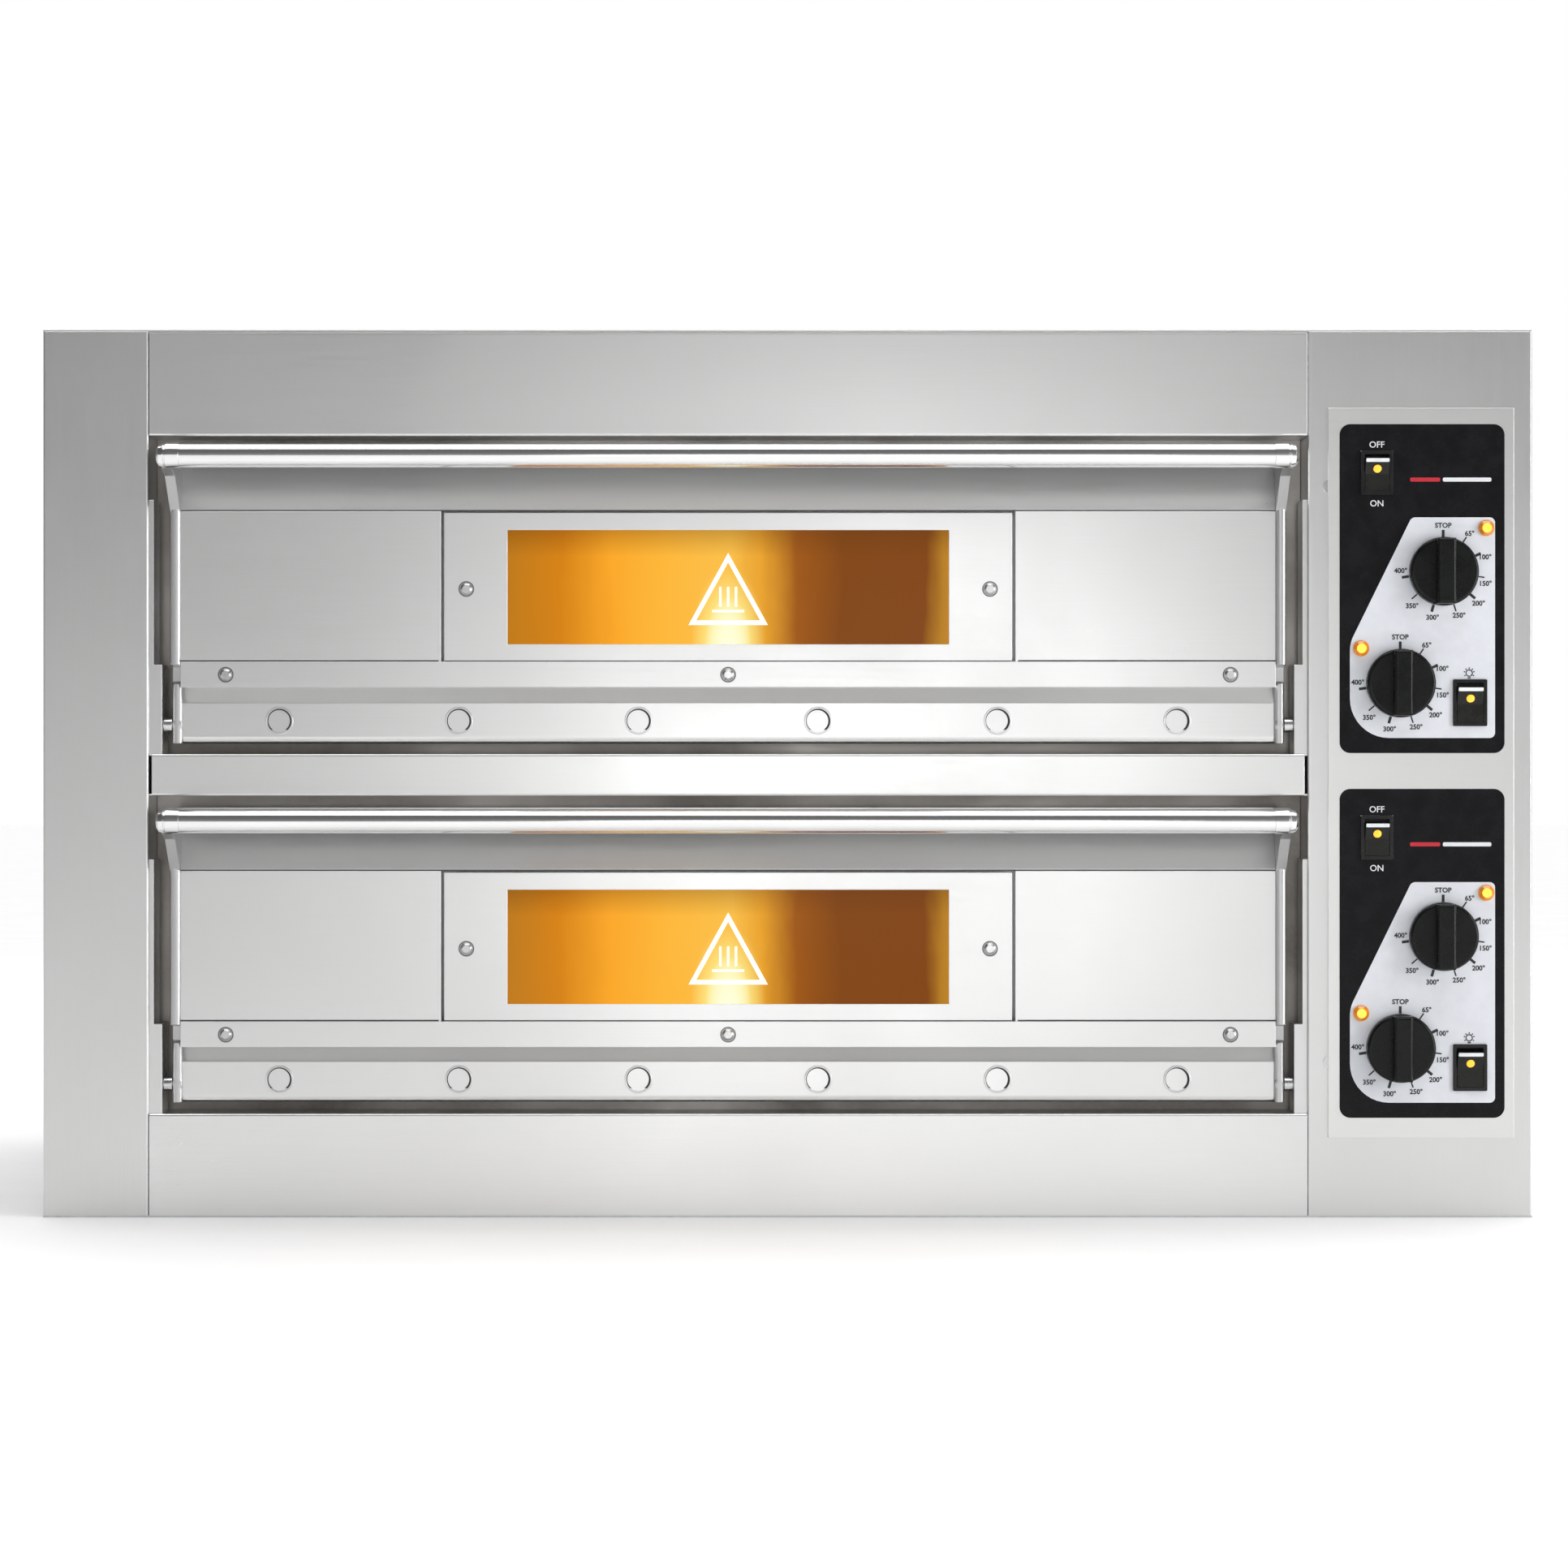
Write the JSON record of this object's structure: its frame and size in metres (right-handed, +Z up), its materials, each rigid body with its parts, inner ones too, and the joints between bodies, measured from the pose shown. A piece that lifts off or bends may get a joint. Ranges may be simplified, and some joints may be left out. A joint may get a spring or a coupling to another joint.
{
  "type": "deck oven",
  "caption": "Electric deck oven with stacked stone-floored baking chambers, glazed drop-down doors with full-width handle bars, and dial controls on the right.",
  "frame": {"origin": "centre of the body's footprint, on the underside of the base pan", "axes": "+Z up, +X to the right of someone facing the doors, -Y toward that person"},
  "size_m": [1.2549, 0.8195, 0.745],
  "materials": {
    "satin_steel": "satin stainless sheet",
    "zinc_sheet": "galvanised sheet",
    "brushed_plate": "horizontally brushed stainless plate",
    "black_film": "glossy black printed film",
    "amber_lens": "translucent amber plastic",
    "black_gloss_plastic": "glossy black moulding",
    "black_plastic": "fine-grained black moulding",
    "plated_case": "zinc-plated pressed case",
    "pale_plastic": "pale thermoset moulding",
    "gland_plastic": "black nylon",
    "screw_steel": "bright plated steel",
    "outlet_steel": "drawn steel tube",
    "mineral_wool": "fibrous mineral wool",
    "lamp_glass": "heat-proof glass",
    "chamber_steel": "heat-tinted aluminised steel",
    "refractory_stone": "matt fired refractory",
    "element_sheath": "dark oxidised heater tube",
    "window_glass": "heat-proof glass with an amber cast",
    "polished_steel": "polished stainless",
    "pin_steel": "turned steel",
    "cheek_steel": "satin stainless"
  },
  "bodies": {
    "casing": {"back_panel": "zinc_sheet", "base_pan": "zinc_sheet", "cable_gland": "gland_plastic", "casing_screws": "screw_steel", "chamber_lamps": "lamp_glass", "control_bay_wall": "zinc_sheet", "control_fascia": "satin_steel", "control_films": "black_film", "control_plate": "brushed_plate", "front_header": "satin_steel", "front_sill": "satin_steel", "hinge_brackets": "zinc_sheet", "indicator_lamps": "amber_lens", "insulation_blankets": "mineral_wool", "left_front_post": "satin_steel", "left_side_panel": "satin_steel", "lower_baking_chamber": "chamber_steel", "lower_bottom_elements": "element_sheath", "lower_stone_floor": "refractory_stone", "lower_top_elements": "element_sheath", "middle_crossbar": "satin_steel", "right_side_panel": "satin_steel", "roof_panel": "satin_steel", "steam_outlets": "outlet_steel", "switch_housings": "black_gloss_plastic", "terminal_block": "pale_plastic", "thermostats": "plated_case", "upper_baking_chamber": "chamber_steel", "upper_bottom_elements": "element_sheath", "upper_stone_floor": "refractory_stone", "upper_top_elements": "element_sheath"},
    "upper_door": {"upper_door_skin": "satin_steel", "upper_door_cheeks": "cheek_steel", "upper_vented_skirt": "satin_steel", "upper_door_inner_panel": "satin_steel", "upper_window_plate": "satin_steel", "upper_window_glass": "window_glass", "upper_handle_bar": "polished_steel", "upper_handle_caps": "polished_steel", "upper_door_screws": "screw_steel", "upper_hinge_pins": "pin_steel"},
    "upper_top_heat_knob_body": {"upper_top_heat_knob": "black_plastic"},
    "upper_bottom_heat_knob_body": {"upper_bottom_heat_knob": "black_plastic"},
    "upper_power_rocker_body": {"upper_power_rocker": "black_plastic"},
    "upper_light_rocker_body": {"upper_light_rocker": "black_plastic"},
    "lower_door": {"lower_door_skin": "satin_steel", "lower_door_cheeks": "cheek_steel", "lower_vented_skirt": "satin_steel", "lower_door_inner_panel": "satin_steel", "lower_window_plate": "satin_steel", "lower_window_glass": "window_glass", "lower_handle_bar": "polished_steel", "lower_handle_caps": "polished_steel", "lower_door_screws": "screw_steel", "lower_hinge_pins": "pin_steel"},
    "lower_top_heat_knob_body": {"lower_top_heat_knob": "black_plastic"},
    "lower_bottom_heat_knob_body": {"lower_bottom_heat_knob": "black_plastic"},
    "lower_power_rocker_body": {"lower_power_rocker": "black_plastic"},
    "lower_light_rocker_body": {"lower_light_rocker": "black_plastic"}
  },
  "joints": [
    {"name": "upper_door_hinge", "type": "hinge", "parent": "casing", "child": "upper_door", "pos_m": [-0.05, -0.3555, 0.4135], "axis": [1, 0, 0], "range_deg": [0, 85], "stiffness_Nm_per_rad": 2.4, "springref_deg": -28.65},
    {"name": "lower_door_hinge", "type": "hinge", "parent": "casing", "child": "lower_door", "pos_m": [-0.05, -0.3555, 0.1115], "axis": [1, 0, 0], "range_deg": [0, 85], "stiffness_Nm_per_rad": 2.4, "springref_deg": -28.65},
    {"name": "upper_top_heat_knob_turn", "type": "hinge", "parent": "casing", "child": "upper_top_heat_knob_body", "pos_m": [0.54969, -0.3711, 0.54191], "axis": [0, 1, 0], "range_deg": [0, 262]},
    {"name": "upper_bottom_heat_knob_turn", "type": "hinge", "parent": "casing", "child": "upper_bottom_heat_knob_body", "pos_m": [0.51369, -0.3711, 0.4483], "axis": [0, 1, 0], "range_deg": [0, 262]},
    {"name": "lower_top_heat_knob_turn", "type": "hinge", "parent": "casing", "child": "lower_top_heat_knob_body", "pos_m": [0.54969, -0.3711, 0.23601], "axis": [0, 1, 0], "range_deg": [0, 262]},
    {"name": "lower_bottom_heat_knob_turn", "type": "hinge", "parent": "casing", "child": "lower_bottom_heat_knob_body", "pos_m": [0.51369, -0.3711, 0.1424], "axis": [0, 1, 0], "range_deg": [0, 262]},
    {"name": "upper_power_rocker_tilt", "type": "hinge", "parent": "casing", "child": "upper_power_rocker_body", "pos_m": [0.49411, -0.3654, 0.62477], "axis": [-1, 0, 0], "range_deg": [0, 20]},
    {"name": "upper_light_rocker_tilt", "type": "hinge", "parent": "casing", "child": "upper_light_rocker_body", "pos_m": [0.57211, -0.3654, 0.43191], "axis": [-1, 0, 0], "range_deg": [0, 20]},
    {"name": "lower_power_rocker_tilt", "type": "hinge", "parent": "casing", "child": "lower_power_rocker_body", "pos_m": [0.49411, -0.3654, 0.31887], "axis": [-1, 0, 0], "range_deg": [0, 20]},
    {"name": "lower_light_rocker_tilt", "type": "hinge", "parent": "casing", "child": "lower_light_rocker_body", "pos_m": [0.57211, -0.3654, 0.12601], "axis": [-1, 0, 0], "range_deg": [0, 20]}
  ]
}
